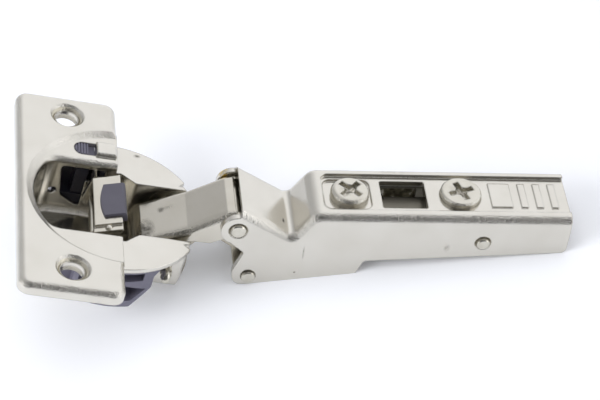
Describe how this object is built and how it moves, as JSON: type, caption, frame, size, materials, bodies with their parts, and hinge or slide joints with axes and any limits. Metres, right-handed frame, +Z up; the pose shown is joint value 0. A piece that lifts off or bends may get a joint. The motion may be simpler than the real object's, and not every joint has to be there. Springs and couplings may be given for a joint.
{
  "type": "concealed cup hinge",
  "caption": "Concealed hinge for a cabinet door: a cup with soft-close rocker, swinging links and a clip-on arm with adjusting screws.",
  "frame": {"origin": "centre of the cup's 35 mm boss on the flange's top plane", "axes": "+X along the arm from the cup to the arm's rear end, +Y along the hinge pins to the switch's side, +Z up out of the arm's top"},
  "size_m": [0.1127, 0.0572, 0.0203],
  "materials": {
    "nickel_sheet": "satin nickel plate",
    "steel_pin": "turned",
    "nickel_screw": "satin nickel plate",
    "spring_steel": "dull",
    "grey_plastic": "moulded",
    "black_plastic": "moulded"
  },
  "bodies": {
    "arm": {"arm_channel": "nickel_sheet", "outer_link_pin": "steel_pin", "inner_link_pin": "steel_pin", "closing_spring": "spring_steel", "latch_rivet": "steel_pin"},
    "outer_link": {"outer_link": "nickel_sheet"},
    "cup": {"hinge_cup": "nickel_sheet", "cup_pin_outer": "steel_pin", "cup_pin_inner": "steel_pin", "damper_housing": "grey_plastic", "switch_housing": "black_plastic", "damper_cylinder": "steel_pin", "rocker_pin": "steel_pin"},
    "inner_link": {"inner_link": "nickel_sheet"},
    "rocker": {"rocker_plate": "nickel_sheet", "rocker_pad": "grey_plastic"},
    "damper_slider": {"damper_slider": "black_plastic"},
    "switch": {"soft_close_switch": "grey_plastic"},
    "carrier": {"adjusting_carrier": "nickel_sheet", "latch_spring": "spring_steel"},
    "cam": {"depth_cam_screw": "nickel_screw"},
    "side_screw": {"side_adjust_screw": "nickel_screw"},
    "latch": {"clip_latch": "nickel_sheet"}
  },
  "joints": [
    {"name": "outer_link_pivot", "type": "hinge", "parent": "arm", "child": "outer_link", "pos_m": [0.0241, 0, -0.00245], "axis": [0, 1, 0], "range_deg": [-8, 2]},
    {"name": "door_swing", "type": "hinge", "parent": "outer_link", "child": "cup", "pos_m": [0.00449, 0, -0.01256], "axis": [0, 1, 0], "range_deg": [-21.43, 88.46]},
    {"name": "inner_link_pivot", "type": "hinge", "parent": "cup", "child": "inner_link", "pos_m": [0.01004, 0, -0.01121], "axis": [0, 1, 0], "range_deg": [-108.5, 26.4]},
    {"name": "rocker_pivot", "type": "hinge", "parent": "cup", "child": "rocker", "pos_m": [-0.00451, 0, -0.00756], "axis": [0, 1, 0], "range_deg": [-64.7, 15.8]},
    {"name": "damper_stroke", "type": "slide", "parent": "cup", "child": "damper_slider", "axis": [-0.9863, 0, 0.165], "range_m": [-0.00075, 0.003]},
    {"name": "switch_slide", "type": "slide", "parent": "cup", "child": "switch", "axis": [0.9863, 0, -0.165], "range_m": [0, 0.0014]},
    {"name": "cam_turn", "type": "hinge", "parent": "arm", "child": "cam", "pos_m": [0.07007, 0, 0], "axis": [0, 0, 1], "range_deg": [-60, 60]},
    {"name": "depth_slide", "type": "slide", "parent": "arm", "child": "carrier", "axis": [1, 0, 0], "range_m": [-0.00155, 0.00155]},
    {"name": "side_screw_turn", "type": "hinge", "parent": "arm", "child": "side_screw", "pos_m": [0.0471, 0, 0], "axis": [0, 0, 1], "range_deg": [-180, 180]},
    {"name": "latch_press", "type": "hinge", "parent": "arm", "child": "latch", "pos_m": [0.07462, 0, -0.00494], "axis": [0, -1, 0], "range_deg": [0, 10], "stiffness_Nm_per_rad": 0.1, "springref_deg": -5.73, "deforming": ["latch_spring"]}
  ],
  "couplings": [
    {"joint": "outer_link_pivot", "follows": "door_swing", "ratio": -0.09},
    {"joint": "inner_link_pivot", "follows": "door_swing", "ratio": -1.225},
    {"joint": "rocker_pivot", "follows": "door_swing", "ratio": -0.73},
    {"joint": "damper_stroke", "follows": "door_swing", "m_per_rad": 0.00192},
    {"joint": "cam_turn", "follows": "depth_slide", "rad_per_m": -671.6}
  ]
}
